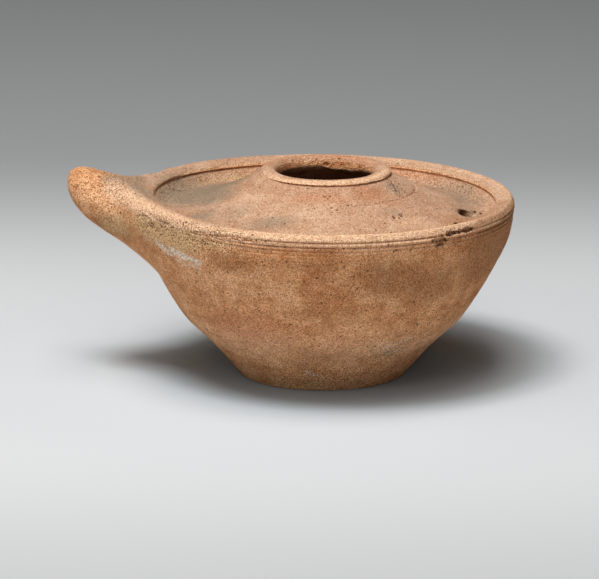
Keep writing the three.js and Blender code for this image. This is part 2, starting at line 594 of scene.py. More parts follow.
    def inside_of_wall(self) -> bpy.types.Object:
        """Turn a plug that fills everything within the middle of the wall and over the lid.

        Returns:
            The plug.
        """
        stations = self.stations()
        middle = []
        for share in (0.3, 0.45, 0.6, 0.75, 0.9):
            radius, height = spline_point(stations, share)
            middle.append((radius - self.wall / 2, height + self.wall / 4))
        top = [(51.0, 49.0), self.inner_edge, (self.inner_edge[0], 80.0), (0.0, 80.0)]
        return Workshop.turned("plug", [(0.0, 2.0), (20.0, 2.0)] + middle + top, 180)


@dataclass
class Lug:
    """The solid thumb lug, rounded at its tip and spreading over the wall and rim at its root.

    Its root ends on a patch of the wall and rim, by a turn from the lug and a share of the way up.
    """

    reach: float = 74.8
    tip_height: float = 55.6
    rise: float = 0.52
    half_height: float = 6.2
    height_taper: float = 0.2
    half_width: float = 7.6
    width_taper: float = 0.26
    rounding: float = 7.7
    roundness: float = 2.3
    root: float = 63.0
    root_turn: float = math.radians(12.5)
    root_share: float = 0.38
    flare_turn: float = math.radians(45)
    flare_share: float = 0.5
    sink: float = 0.06
    heart: tuple[float, float, float] = (-30.0, 0.0, 42.0)
    sides: int = 72
    rings: int = 22
    flare_rings: int = 22
    patch: Profile = field(default_factory=lambda: spline_run([
        (48.0, 29.5), (49.8, 32.8), (53.4, 40.4), (54.8, 46.4), (55.15, 50.5),
        (54.0, 52.8), (51.9, 52.5), (49.6, 51.0),
    ], 0.1))
    seam_from: tuple[float, float, float] = (49.9, 1.2, 27.0)
    seam_ring: Pair = (0.8, 1.08)
    seam_top: float = 0.97

    def angles(self) -> np.ndarray:
        """Return the turns round the lug's section, 0 at the top."""
        return np.linspace(0, math.tau, self.sides, endpoint=False)

    def ring(self, distance: float) -> Places:
        """Shape one section of the free end.

        Args:
            distance: How far it is from the bowl's axis.

        Returns:
            The places round the section.
        """
        to_tip = self.reach - distance
        rounding = max(0.0, 1 - to_tip / self.rounding)
        swell = (1 - rounding ** self.roundness) ** (1 / self.roundness)
        tall = np.cos(self.angles()) * (self.half_height + to_tip * self.height_taper) * swell
        wide = np.sin(self.angles()) * (self.half_width + to_tip * self.width_taper) * swell
        middle = self.tip_height - to_tip * self.rise
        return np.stack([np.full(self.sides, -distance), wide, middle + tall], axis=1)

    def on_patch(self, turn: np.ndarray, share: np.ndarray) -> Places:
        """Find places on the wall and rim.

        Args:
            turn: The turns from the lug.
            share: The shares of the way up the patch.

        Returns:
            One place for each turn and share.
        """
        path = np.array(self.patch)
        spot = np.clip(share, 0, 1) * (len(path) - 1)
        radius = np.interp(spot, np.arange(len(path)), path[:, 0])
        height = np.interp(spot, np.arange(len(path)), path[:, 1])
        return np.stack([-radius * np.cos(turn), radius * np.sin(turn), height], axis=1)

    def flare_ring(self, step: float) -> Places:
        """Shape one section of the root.

        Args:
            step: From 0 where the root leaves the lug to 1 where it dies away.

        Returns:
            The places round the section.
        """
        cos, sin = np.cos(self.angles()), np.sin(self.angles())
        spread = step * step
        start = self.on_patch(self.root_turn * sin, 0.5 + self.root_share * cos)
        lift = (self.ring(self.root) - start) * (1 - step) ** 2
        half_turn = self.root_turn + (self.flare_turn - self.root_turn) * spread
        half_share = self.root_share + (self.flare_share - self.root_share) * spread
        foot = self.on_patch(half_turn * sin, 0.5 + half_share * cos)
        inward = foot * np.array([-1.0, -1.0, 0.0])
        inward *= (self.sink * spread / np.linalg.norm(inward, axis=1))[:, None]
        return foot + lift + inward

    def build(self) -> bpy.types.Object:
        """Skin the lug over its rings, which bend with the wall and so are placed point by point.

        Returns:
            The lug, closed at both ends.
        """
        rings = [self.flare_ring(step / self.flare_rings) for step in range(self.flare_rings, 0, -1)]
        for ring in range(self.rings):
            share = math.sin(ring / self.rings * math.pi / 2)
            rings.append(self.ring(self.root + (self.reach - self.root) * share))
        places = [np.array([self.heart])] + rings + [np.array([[-self.reach, 0.0, self.tip_height]])]
        faces = []
        count = self.sides
        last = 1 + (len(rings) - 1) * count
        for side in range(count):
            after = (side + 1) % count
            faces.append((0, 1 + after, 1 + side))
            faces.append((last + side, last + after, last + count))
            for ring in range(len(rings) - 1):
                near, far = 1 + ring * count, 1 + (ring + 1) * count
                faces.append((near + side, near + after, far + after, far + side))
        mesh = bpy.data.meshes.new("lug")
        mesh.from_pydata((np.concatenate(places) * MM).tolist(), [], faces)
        piece = bpy.data.objects.new("lug", mesh)
        bpy.context.scene.collection.objects.link(piece)
        return piece

    def seam(self, places: Places) -> np.ndarray:
        """Find the line where the root dies away.

        Args:
            places: Vertices in millimetres.

        Returns:
            A mask of the places along it.
        """
        turn = np.arctan2(places[:, 1], -places[:, 0])
        away, height = polar(places)[0], places[:, 2]
        least_away, most_turn, least_height = self.seam_from
        close = (away > least_away) & (np.abs(turn) < most_turn) & (height > least_height)
        path = np.array(self.patch)
        found = np.zeros(len(places), dtype=bool)
        for index in np.flatnonzero(close):
            gap = (path[:, 0] - away[index]) ** 2 + (path[:, 1] - height[index]) ** 2
            share = gap.argmin() / (len(path) - 1)
            ring = math.hypot(turn[index] / self.flare_turn, (share - 0.5) / self.flare_share)
            found[index] = self.seam_ring[0] < ring < self.seam_ring[1] and share < self.seam_top
        return found


@dataclass
class HandShaping:
    """What hands and wear did to the turned body.

    Turns are in degrees from +X, the end away from the lug, and less than 0 on the front. Only
    clear_of_lug is counted from the lug. Lengths are in millimetres.
    """

    lean: float = 0.0113
    dip: float = 0.0075
    rim_height: float = 50.5
    lift: float = 1.5
    narrowness: int = 5
    lifted: Stretch = Stretch((34.0, 48.0), (55.0, 66.0))
    lifted_above: Pair = (36.0, 50.0)
    band_depth: float = 0.8
    clear_of_lug: Pair = (47.0, 66.0)
    kept_groove: float = 0.9
    groove_wear: Rough = Rough(0.45, 4.0, 13.0)
    line_turns: Stretch = Stretch((-84.0, -62.0), (8.0, 30.0))
    line_start: float = 24.6
    line_radius: float = 26.3
    line_depth: float = 0.32
    line_half: float = 0.28
    line_step: float = 0.12
    lid_height: float = 45.0
    crease: Zone = Zone((18.6, 19.25), (58.6, 59.7))
    filled_radius: float = 19.2
    crisp_turn: float = -40.0
    soft_from: Pair = (100.0, 125.0)
    undercut: Zone = Zone((49.62, 50.1), (50.0, 50.95))
    closed_share: float = 0.5
    closed_turns: Stretch = Stretch((-20.0, 20.0), (95.0, 130.0))
    lip_reach: float = 20.0
    front_drop: float = 0.4
    lip_lean: float = 0.032
    lean_from: Pair = (80.0, 120.0)
    throat: Zone = Zone((-1.0, 15.3), (56.0, 58.6))
    sag: float = 0.5
    sag_turns: Stretch = Stretch((40.0, 60.0), (78.0, 92.0))
    throat_edge: Rough = Rough(0.35, 2.2, 41.0)
    broad_lumps: Rough = Rough(0.10, 11.0, 5.0)
    small_lumps: Rough = Rough(0.05, 3.2, 9.0)
    wheel_ridges: Rough = Rough(0.055, 1.7, 3.0)
    ridge_stretch: tuple[float, float, float] = (0.16, 0.16, 1.0)
    faint_ridges: float = 0.3

    def moved(self, places: Places) -> Places:
        """Lean the body towards +X, dip that side of the rim and draw the rim up beside the lug.

        Args:
            places: Vertices in millimetres.

        Returns:
            The moved vertices.
        """
        across, along, height = places.T
        away = np.hypot(across, along)
        share = np.minimum(height / self.rim_height, 1.2)
        towards_lug = (1 - across / np.maximum(away, 1.0)) / 2
        on_rim = self.lifted.share(away) * smoothstep(height, *self.lifted_above)
        rise = self.lift * towards_lug ** self.narrowness * on_rim - across * self.dip * share
        return np.stack([across + height * self.lean, along, height + rise], axis=1)

    def worn_band(self, places: Places, bowl: Bowl) -> Places:
        """Fill the fine grooves unevenly, and fully where the root of the lug runs into them.

        Args:
            places: Vertices in millimetres.
            bowl: The bowl that has the grooves.

        Returns:
            The moved vertices.
        """
        away, height = polar(places)[0], places[:, 2]
        radius, base = bowl.band_base
        within = (height > base + bowl.band_start - 0.05) & (height < bowl.band_top + 0.05)
        band = (np.abs(away - radius) < self.band_depth) & within
        plain = radius + bowl.band_flare * (height - base) / (bowl.band_top - base)
        from_lug = np.abs(np.degrees(np.arctan2(places[:, 1], -places[:, 0])))
        filled = 1.0 - smoothstep(from_lug, *self.clear_of_lug) * self.kept_groove
        filled[band] += self.groove_wear.at(places[band] * (1, 1, 3))
        filled = np.clip(filled, 0, 1) * band
        return about_axis(places, 1 + (plain / np.maximum(away, 1.0) - 1) * filled)

    def cone_line(self, places: Places) -> np.ndarray:
        """Press in the line that runs part of the way round the cone.

        Args:
            places: Vertices in millimetres.

        Returns:
            How far each one drops.
        """
        away, turn = polar(places)
        line = self.line_depth * np.exp(-((away - self.line_radius) / self.line_half) ** 2)
        within = smoothstep(away, self.line_start, self.line_radius) * (away < self.line_radius)
        shown = self.line_turns.share(turn) * (places[:, 2] > self.lid_height)
        return (line + self.line_step * within) * shown

    def soft_crease(self, places: Places) -> np.ndarray:
        """Fill the crease under the lip, away from the side where it stays crisp.

        Args:
            places: Vertices in millimetres.

        Returns:
            A scale of each one's distance from the axis.
        """
        away, turn = polar(places)
        soft = self.crease.holds(places) * smoothstep(np.abs(turn - self.crisp_turn), *self.soft_from)
        return 1 + soft * (self.filled_radius - away) / np.maximum(away, 1.0)

    def closed_undercut(self, places: Places) -> np.ndarray:
        """Half close the undercut of the rim at the back right.

        Args:
            places: Vertices in millimetres.

        Returns:
            A scale of each one's distance from the axis.
        """
        away, turn = polar(places)
        closed = self.closed_share * self.closed_turns.share(turn) * self.undercut.holds(places)
        return 1 - closed * (away - self.undercut.radii[0]) / np.maximum(away, 1.0)

    def worn_lip(self, places: Places) -> tuple[np.ndarray, np.ndarray]:
        """Lower the front of the lip, and lean its outer face in at the left and the back.

        Args:
            places: Vertices in millimetres.

        Returns:
            How far each one drops, and a scale of its distance from the axis.
        """
        away, turn = polar(places)
        height = places[:, 2]
        lip = away < self.lip_reach
        drop = self.front_drop * smoothstep(-places[:, 1], 2, 13) * smoothstep(height, 59.0, 60.2) * lip
        outer = smoothstep(away, 16.5, 19.0) * smoothstep(height, 58.9, 59.8) * lip
        return drop, 1 - self.lip_lean * outer * smoothstep(np.abs(turn - self.crisp_turn), *self.lean_from)

    def ragged_throat(self, places: Places) -> np.ndarray:
        """Let the lower edge of the throat sag at the back and run unevenly all round.

        Args:
            places: Vertices in millimetres.

        Returns:
            How far each one drops.
        """
        throat = self.throat.holds(places)
        sag = self.sag * self.sag_turns.share(polar(places[throat])[1])
        drop = np.zeros(len(places))
        drop[throat] = sag + self.throat_edge.at(places[throat])
        return drop

    def part_way_round(self, places: Places) -> Places:
        """Shape what differs from one side of the lid and collar to another.

        Args:
            places: Vertices in millimetres.

        Returns:
            The moved vertices.
        """
        lip_drop, lip_scale = self.worn_lip(places)
        scale = self.soft_crease(places) * self.closed_undercut(places) * lip_scale
        moved = about_axis(places, scale)
        moved[:, 2] -= self.cone_line(places) + lip_drop + self.ragged_throat(places)
        return moved

    def uneven(self, places: Places, normals: Places) -> Places:
        """Add the soft lumps and the wheel's faint ridges, none of it on the flat underside.

        Args:
            places: Vertices in millimetres.
            normals: Their normals.

        Returns:
            The moved vertices.
        """
        lumps = self.broad_lumps.at(places) + self.small_lumps.at(places)
        ridges = self.wheel_ridges.at(places * np.array(self.ridge_stretch))
        away = polar(places)[0]
        shown = np.where((away > 20) & (away < 57), 1.0, self.faint_ridges)
        off_the_ground = smoothstep(places[:, 2], 0.3, 2.5)
        return places + normals * ((lumps + ridges * shown) * off_the_ground)[:, None]


@dataclass
class DrainHole:
    """The small hole pierced at a slant through the lid, in a pressed hollow, with painted shade inside it.
    """

    middle: tuple[float, float, float] = (40.9, -5.8, 48.2)
    radius: float = 2.2
    rising: tuple[float, float, float] = (0.38, -0.42, 0.82)
    length: float = 14.0
    sides: int = 28
    # How dark the painted shade in the hole is, and how much less of it lies on the lit side
    shade: float = 0.7
    lit_share: float = 0.65
    lit_from: Pair = (0.3, 1.8)

    def pierce(self, piece: bpy.types.Object) -> None:
        """Cut the hole out of the lid.

        Args:
            piece: The lamp.
        """
        Workshop.clear()
        bpy.ops.mesh.primitive_cylinder_add(
            vertices=self.sides, radius=self.radius * MM, depth=self.length * MM,
            location=tuple(value * MM for value in self.middle),
            rotation=Vector(self.rising).to_track_quat("Z", "Y").to_euler())
        tool = bpy.context.object
        bpy.ops.object.transform_apply(location=True, rotation=True, scale=True)
        Workshop.cut_or_join(piece, tool, "DIFFERENCE")

    def inside(self, places: Places) -> np.ndarray:
        """Work out the painted shade inside the hole, which is less on its lit side, the side that faces the
        lug.

        Args:
            places: Vertices in millimetres.

        Returns:
            One share for each, 0 outside the hole.
        """
        rising = np.array(self.rising) / np.linalg.norm(self.rising)
        away = places - np.array(self.middle)
        along = away @ rising
        across = away - along[:, None] * rising
        hidden = 1 - self.lit_share * smoothstep(across[:, 0], *self.lit_from)
        beyond = smoothstep(np.linalg.norm(across, axis=1), self.radius + 0.1, self.radius + 0.5)
        return self.shade * (1 - beyond) * hidden * (np.abs(along) < self.length / 2)


@dataclass
class Lamp:
    """The whole lamp: one piece of fired clay, built, shaped by wear and dressed."""

    bowl: Bowl = field(default_factory=Bowl)
    lug: Lug = field(default_factory=Lug)
    hands: HandShaping = field(default_factory=HandShaping)
    drain: DrainHole = field(default_factory=DrainHole)
    wounds: tuple[Wound, ...] = (
        Wound((35.6, -42.2, 50.85), (1.5, 0.8), 1.6, 0.55, 0.6, edge=0.3),
        Wound((38.2, -40, 50.8), (2.3, 0.6), 1.5, 0.6, 0.5, edge=0.3),
        Wound((40.6, -37.5, 50.75), (1.7, 0.9), 1.7, 0.5, 0.6, edge=0.3),
        Wound((32.9, -44.3, 49), (2.6, 1.9), 0.7, 0.55, 0.9),
        Wound((30.9, -45.8, 49.7), (1, 0.7), 0.7, 0.6, 0.6),
        Wound((32.2, -44.8, 47.6), (1.4, 0.45), 0.5, 0.7, 0.5, turn=20),
        Wound((34.6, -43, 48.6), (0.5, 1.1), 0.5, 0.7, 0.5, turn=-25),
        Wound((-21.4, -50.7, 50.5), (1.6, 0.55), 0.7, 0.6, 0.7),
        Wound((-24.8, -48.9, 50.6), (1.3, 0.4), 0.5, 0.6, 0.5),
        Wound((-29.5, -46.2, 50.8), (3.4, 0.35), 0.4, 0.8, 0.7),
        Wound((-35.5, -41.9, 51), (2.6, 0.4), 0.4, 0.9, 0.6),
        Wound((-39.6, -37.3, 52.3), (0.7, 0.7), 0.6, 0.4, 0.6),
        Wound((-45.5, -31, 51.1), (3.4, 0.5), 0.4, 1, 0.7),
        Wound((-50.2, -22.4, 51), (3.4, 0.5), 0.4, 1, 0.7),
        Wound((48, -18.8, 35.3), (2.2, 1.2), 0.45, 0.5, 1.2),
        Wound((20.1, -26.4, 51.8), (0.55, 0.9), 0.7, 0.3, 0.5, Side.LID),
        Wound((22.1, -24.4, 52), (0.6, 0.9), 0.6, 0.3, 0.5, Side.LID),
        Wound((41.3, -8.3, 48), (3.1, 2.4), 1.6, 0.12, 1.5, Side.LID, -25, 0.8),
        Wound((44.2, -3, 47.9), (1, 1.6), 0.8, 0.5, 0.6, Side.LID, -20),
        Wound((45.6, -4, 47.7), (0.6, 1.3), 0.7, 0.5, 0.6, Side.LID, -20),
        Wound((1.3, 14.2, 58.3), (1, 0.7), 0.6, 0.6, 0.7),
        Wound((-69.8, -7.5, 54.6), (3, 2.2), 0.25, 0.3, 2),
        Wound((19.6, -7.6, 58), (0.4, 1.3), 0.45, 0.8, 0.5, turn=-8),
        Wound((20.2, -9.6, 57.2), (0.35, 1.5), 0.45, 0.8, 0.5, turn=-12),
        Wound((20.9, -12.6, 56.2), (0.4, 1.6), 0.4, 0.8, 0.5, turn=-14),
        Wound((22.2, -14.6, 54.9), (0.35, 1), 0.35, 0.8, 0.5, turn=-14),
    )
    small_wound: float = 1.2
    chipped: tuple[Pair, ...] = ((29.0, 44.5), (-60.0, -34.0), (46.6, 52.0))
    fine_cuts: int = 2
    seam_rounds: int = 8

    def finely_marked(self, places: Places) -> np.ndarray:
        """Find the marks too small for the turned mesh: the chipped stretch of rim and small wounds.

        Args:
            places: Vertices in millimetres.

        Returns:
            A mask of the places near them.
        """
        near = np.ones(len(places), dtype=bool)
        for axis, (low, high) in enumerate(self.chipped):
            near &= (places[:, axis] > low) & (places[:, axis] < high)
        for wound in self.wounds:
            if min(wound.reach) < self.small_wound:
                reach = 1.2 * max(wound.reach) + 0.8
                near |= np.linalg.norm(places - np.array(wound.middle), axis=1) < reach
        return near

    def build(self) -> bpy.types.Object:
        """Make the lamp's mesh.

        Returns:
            The finished piece, in millimetre sizes set in metres, on the frame's own origin.
        """
        piece = self.bowl.build()
        lug = self.lug.build()
        Workshop.cut_or_join(lug, self.bowl.inside_of_wall(), "DIFFERENCE")
        Workshop.cut_or_join(piece, lug, "UNION")
        LOG.info("joined body and lug: %d faces", len(piece.data.polygons))
        Workshop.smooth(piece, self.lug.seam(Workshop.places(piece)), self.seam_rounds)
        self.drain.pierce(piece)
        places = self.hands.worn_band(Workshop.places(piece), self.bowl)
        Workshop.put(piece, self.hands.moved(self.hands.part_way_round(places)))
        Workshop.refine(piece, self.finely_marked(Workshop.places(piece)), self.fine_cuts)
        places, normals = Workshop.places(piece), Workshop.normals(piece)
        shaped = self.hands.uneven(places, normals)
        for wound in self.wounds:
            shaped = wound.sink(shaped, normals)
        Workshop.put(piece, shaped)
        Workshop.pick_up(piece)
        bpy.ops.object.shade_smooth_by_angle(angle=math.radians(50))
        return piece


class Sock:
    """A node socket that takes part in sums written as Python expressions."""

    def __init__(self, bench: "Bench", socket: bpy.types.NodeSocket) -> None:
        """Keep the socket and the bench that adds its nodes."""
        self.bench = bench
        self.socket = socket

    def _sum(self, operation: str, first: Any, second: Any) -> "Sock":
        """Add one Math node."""
        return self.bench.add("ShaderNodeMath", {"operation": operation}, {0: first, 1: second})

    def __add__(self, other: Any) -> "Sock":
        """Add."""
        return self._sum("ADD", self, other)

    __radd__ = __add__

    def __mul__(self, other: Any) -> "Sock":
        """Multiply."""
        return self._sum("MULTIPLY", self, other)

    __rmul__ = __mul__

    def __sub__(self, other: Any) -> "Sock":
        """Subtract."""
        return self._sum("SUBTRACT", self, other)

    def __rsub__(self, other: Any) -> "Sock":
        """Subtract from a number."""
        return self._sum("SUBTRACT", other, self)

    def __neg__(self) -> "Sock":
        """Change the sign."""
        return self * -1.0

    def clamp(self) -> "Sock":
        """Keep the value between 0 and 1."""
        return self.bench.add("ShaderNodeClamp", {}, {"Value": self})

    def step(self, low: float, high: float) -> "Sock":
        """Rise smoothly from 0 at low to 1 at high."""
        values = {"Value": self, "From Min": low, "From Max": high}
        return self.bench.add("ShaderNodeMapRange", {"interpolation_type": "SMOOTHSTEP"}, values)


@dataclass(frozen=True)
class Cloud:
    """Soft random values: the size of the lumps in millimetres, their detail, seed and roughness."""

    size: float
    detail: float
    seed: float
    roughness: float = 0.5
    stretch: tuple[float, float, float] = (1.0, 1.0, 1.0)


class Bench:
    """A material's node tree and the one method that adds a node to it."""

    def __init__(self, name: str) -> None:
        """Start an empty material.

        Args:
            name: The material's name.
        """
        self.material = bpy.data.materials.new(name)
        self.material.use_nodes = True
        self.tree = self.material.node_tree
        self.tree.nodes.clear()

    def add(self, kind: str, settings: dict[str, Any], values: dict[Any, Any], out: Any = 0) -> Sock:
        """Add a node.

        Args:
            kind: The node's type.
            settings: Its settings, set before its sockets.
            values: Numbers, colours or links for its input sockets.
            out: Which output to hand back.

        Returns:
            The chosen output.
        """
        node = self.tree.nodes.new(kind)
        for name, value in settings.items():
            if name == "stops":
                self._stops(node.color_ramp, value)
            else:
                setattr(node, name, value)
        for name, value in values.items():
            if isinstance(value, Sock):
                self.tree.links.new(value.socket, node.inputs[name])
            else:
                node.inputs[name].default_value = value
        return Sock(self, node.outputs[out])

    @staticmethod
    def _stops(ramp: bpy.types.ColorRamp, stops: Sequence[Stop]) -> None:
        """Set a ramp's stops.

        Args:
            ramp: The ramp.
            stops: Places along it with their colours.
        """
        while len(ramp.elements) < len(stops):
            ramp.elements.new(0.5)
        for element, (place, colour) in zip(ramp.elements, stops):
            element.position = place
            element.color = (*colour, 1.0)

    def tint(self, colour: Sock, value: Sock) -> Sock:
        """Multiply a colour by another."""
        return self.add("ShaderNodeVectorMath", {"operation": "MULTIPLY"}, {0: colour, 1: value})

    def shade(self, value: Sock, stops: Sequence[Stop]) -> Sock:
        """Turn a value into a colour by a ramp of stops."""
        return self.add("ShaderNodeValToRGB", {"stops": stops}, {"Fac": value}, "Color")

    def blend(self, share: Sock, first: Sock | Colour, second: Sock | Colour) -> Sock:
        """Mix two colours by a share."""
        colours = [paint if isinstance(paint, Sock) else (*paint, 1.0) for paint in (first, second)]
        return self.add("ShaderNodeMix", {"data_type": "RGBA"}, {0: share, 6: colours[0], 7: colours[1]}, 2)

    def finish(self, values: dict[str, Any]) -> None:
        """Add the surface shader and the output.

        Args:
            values: The shader's input values.
        """
        shader = self.add("ShaderNodeBsdfPrincipled", {}, values)
        output = self.tree.nodes.new("ShaderNodeOutputMaterial")
        self.tree.links.new(shader.socket, output.inputs["Surface"])

    def place(self) -> Sock:
        """Return the place on the piece."""
        return self.add("ShaderNodeTexCoord", {}, {}, "Object")

    def mask(self, name: str) -> Sock:
        """Return one of the piece's own masks."""
        return self.add("ShaderNodeAttribute", {"attribute_name": name}, {}, "Fac")

    def cloud(self, cloud: Cloud) -> Sock:
        """Lay soft random values over the piece.

        Args:
            cloud: Their size, detail and seed.

        Returns:
            Values round 0.5.
        """
        shift = (cloud.seed, cloud.seed * 0.37, -cloud.seed * 0.61)
        values = {"Vector": self.place(), "Scale": cloud.stretch, "Location": shift}
        return self.noise(self.add("ShaderNodeMapping", {}, values), cloud)

    def streaks(self, cloud: Cloud, along: tuple[float, float, float]) -> Sock:
        """Lay soft random values drawn out along one direction.

        Args:
            cloud: Their size and detail, and how far they are drawn out.
            along: The direction.

        Returns:
            Values round 0.5.
        """
        turn = tuple(Vector(along).to_track_quat("X", "Z").to_euler())
        values = {"Vector": self.place(), "Rotation": turn, "Scale": cloud.stretch}
        return self.noise(self.add("ShaderNodeMapping", {"vector_type": "TEXTURE"}, values), cloud)

    def noise(self, place: Sock, cloud: Cloud) -> Sock:
        """Return noise at a place."""
        values = {"Vector": place, "Scale": 1 / (cloud.size * MM), "Detail": cloud.detail}
        return self.add("ShaderNodeTexNoise", {}, {**values, "Roughness": cloud.roughness})

    def cells(self, size: float, seed: float) -> Sock:
        """Return the distance to scattered points about size millimetres apart."""
        place = self.add("ShaderNodeMapping", {}, {"Vector": self.place(), "Location": (seed, seed, seed)})
        return self.add("ShaderNodeTexVoronoi", {}, {"Vector": place, "Scale": 1 / (size * MM)}, "Distance")


@dataclass(frozen=True)
class TerracottaFinish:
    """Unglazed sandy clay: its colours in linear light, with those of the painted shade and highlights, its
    grain, and how rough it is.
    """

    clay: Colour = (0.725, 0.335, 0.146)
    clay_pale: Colour = (0.850, 0.450, 0.228)
    clay_deep: Colour = (0.550, 0.218, 0.082)
    top: Colour = (0.62, 0.360, 0.222)
    top_pale: Colour = (0.70, 0.44, 0.285)
    top_deep: Colour = (0.56, 0.300, 0.175)
    red: Colour = (0.62, 0.250, 0.125)
    tan: Colour = (0.68, 0.430, 0.215)
    # cream is pale clay, and also the painted highlight on the rim, lip, groove ridge and lug, and painted
    # light low on the wall
    cream: Colour = (0.89, 0.550, 0.335)
    olive: Colour = (0.315, 0.232, 0.157)
    grey: Colour = (0.42, 0.285, 0.190)
    # brown is browner clay, and also painted shade on the wall's right end and under the lug
    brown: Colour = (0.38, 0.150, 0.052)
    lime: Colour = (0.86, 0.77, 0.64)
    # dark is the dark grains and pits, and the painted shade in the creases; light is the light grains and
    # the painted highlight on the proud edges
    dark: Colour = (0.17, 0.060, 0.018)
    light: Colour = (0.92, 0.58, 0.34)
    # The painted shade in the crack, pits, chips, scratches, drain hole, throat and chamber
    soot: Colour = (0.060, 0.022, 0.008)
    tone_stops: tuple[float, float, float] = (0.41, 0.50, 0.59)
    grain_shades: tuple[Stop, ...] = (
        (0.28, (0.34, 0.19, 0.09)), (0.42, (0.78, 0.68, 0.54)),
        (0.51, (1.15, 1.16, 1.17)), (0.66, (1.52, 1.74, 2.00)),
    )
    fine_shades: tuple[Stop, ...] = (
        (0.30, (0.80, 0.72, 0.61)), (0.46, (1.00, 0.99, 0.98)),
        (0.56, (1.05, 1.06, 1.08)), (0.70, (1.10, 1.14, 1.19)),
    )
    broad: Cloud = Cloud(16.0, 3.0, 1.0)
    middling: Cloud = Cloud(4.5, 4.0, 2.0, 0.62)
    fine: Cloud = Cloud(0.95, 3.0, 3.0, 0.7)
    rings: Cloud = Cloud(2.6, 3.0, 4.0, stretch=(0.12, 0.12, 1.0))
    grain: Cloud = Cloud(0.36, 1.0, 5.0, 0.6)
    light_grains: Cloud = Cloud(0.44, 0.0, 6.0)
    dark_grains: Cloud = Cloud(0.44, 0.0, 15.0)
    pitted: Cloud = Cloud(3.0, 2.0, 9.0)
    pit_spacing: float = 2.4
    smears: Cloud = Cloud(0.85, 4.0, 0.0, 0.7, (3.6, 1.0, 1.0))
    smear_along: tuple[float, float, float] = (0.48, -0.66, -0.58)
    stain_edge: float = 6.0
    roughness: float = 0.88
    bump_strength: float = 0.9
    bump_height: float = 1.2
    sheen: float = 0.14

    def ground(self, bench: Bench, tone: Sock) -> Sock:
        """Colour the bare clay.

        Args:
            bench: The material's bench.
            tone: Where the clay is deeper or paler.

        Returns:
            The wall's colour, and the lid's where the piece faces up.
        """
        wall = bench.shade(tone, list(zip(self.tone_stops, (self.clay_deep, self.clay, self.clay_pale))))
        lid = bench.shade(tone, list(zip(self.tone_stops, (self.top_deep, self.top, self.top_pale))))
        return bench.blend(bench.mask(Stain.TOP.value), wall, lid)

    def stained(self, bench: Bench, colour: Sock) -> Sock:
        """Lay the stains, with the painted shade and highlights among them, over a colour, their edges
        broken up by the clay's texture.

        Args:
            bench: The material's bench.
            colour: The colour under them.

        Returns:
            The stained colour.
        """
        for stain, paint, most in (
            (Stain.BROWN, self.brown, 0.8), (Stain.RED, self.red, 0.7), (Stain.TAN, self.tan, 0.85),
            (Stain.GREY, self.grey, 0.85), (Stain.OLIVE, self.olive, 0.95), (Stain.CREAM, self.cream, 0.95),
        ):
            cloud = bench.cloud(Cloud(self.stain_edge, 5.0, stain.cloud_seed(), 0.62))
            share = (bench.mask(stain.value) * (cloud * 1.6 + 0.35)).step(0.1, 0.95)
            colour = bench.blend(share * most, colour, paint)
        return colour

    def lime_and_painted_light(self, bench: Bench, colour: Sock, middling: Sock) -> Sock:
        """Lay the lime smears on, paint shade into the creases and paint highlights on the proud edges.

        Args:
            bench: The material's bench.
            colour: The colour under them.
            middling: The clay's middling lumps.

        Returns:
            The new colour.
        """
        smears = bench.streaks(self.smears, self.smear_along)
        lime = bench.mask(Stain.LIME.value) * 0.66 + smears * 0.6 + middling * 0.4 - 0.87
        colour = bench.blend(lime.step(0.0, 0.30) * 0.78, colour, self.lime)
        # Painted shade in the hollows and painted highlight on the proud edges, read from the mesh's bend
        crease = bench.mask(Dressing.CREASE)
        colour = bench.blend(crease.step(0.15, 0.8) * 0.75, colour, self.dark)
        return bench.blend((-crease).step(0.12, 0.7) * 0.6, colour, self.light)

    def material(self) -> bpy.types.Material:
        """Build the material from the clay's grain, the stains, the wear, and the painted shade and
        highlights.

        Returns:
            The finished material.
        """
        bench = Bench("terracotta_with_painted_light")
        broad, middling, fine = (bench.cloud(cloud) for cloud in (self.broad, self.middling, self.fine))
        rings, grain = bench.cloud(self.rings), bench.cloud(self.grain)
        grit, top, olive = (bench.mask(stain.value) for stain in (Stain.GRIT, Stain.TOP, Stain.OLIVE))
        colour = self.ground(bench, broad * 0.36 + middling * 0.44 + rings * 0.20)
        colour = self.lime_and_painted_light(bench, self.stained(bench, colour), middling)
        sandy = (grit * 0.35 + 0.72 - top * 0.22 - olive * 0.25).clamp()
        colour = bench.tint(colour, bench.blend(sandy, WHITE, bench.shade(grain, self.grain_shades)))
        colour = bench.tint(colour, bench.shade(fine, self.fine_shades))
        dark = 1 - (bench.cloud(self.dark_grains) - grit * 0.09).step(0.21, 0.30)
        dark = dark * (grit * 0.45 + 0.4).clamp()
        light = (bench.cloud(self.light_grains) + grit * 0.05).step(0.62, 0.72)
        colour = bench.blend(dark, colour, self.dark)
        colour = bench.blend(light * 0.5, colour, self.light)
        pits = 1 - bench.cells(self.pit_spacing, 7.0).step(0.06, 0.17)
        pits = pits * bench.cloud(self.pitted).step(0.38, 0.54)
        colour = bench.blend(pits * 0.85, colour, self.dark)
        # Painted shade in the crack, pits, chips, scratches, drain hole, throat and chamber
        soot = bench.mask(Stain.SOOT.value).step(0.1, 0.8)
        colour = bench.blend(soot * 0.92, colour, self.soot)
        relief = fine * 0.5 + grain * 0.35 - dark * 0.3 + light * 0.2 - pits * 0.6
        relief = relief + middling * 0.6 + rings * 0.5
        bump = {"Strength": self.bump_strength, "Distance": self.bump_height * MM, "Height": relief}
        bench.finish({
            "Base Color": colour, "Roughness": (self.roughness + (fine - 0.5) * 0.16).clamp(),
            "Normal": bench.add("ShaderNodeBump", {}, bump), "Specular IOR Level": self.sheen,
        })
        return bench.material


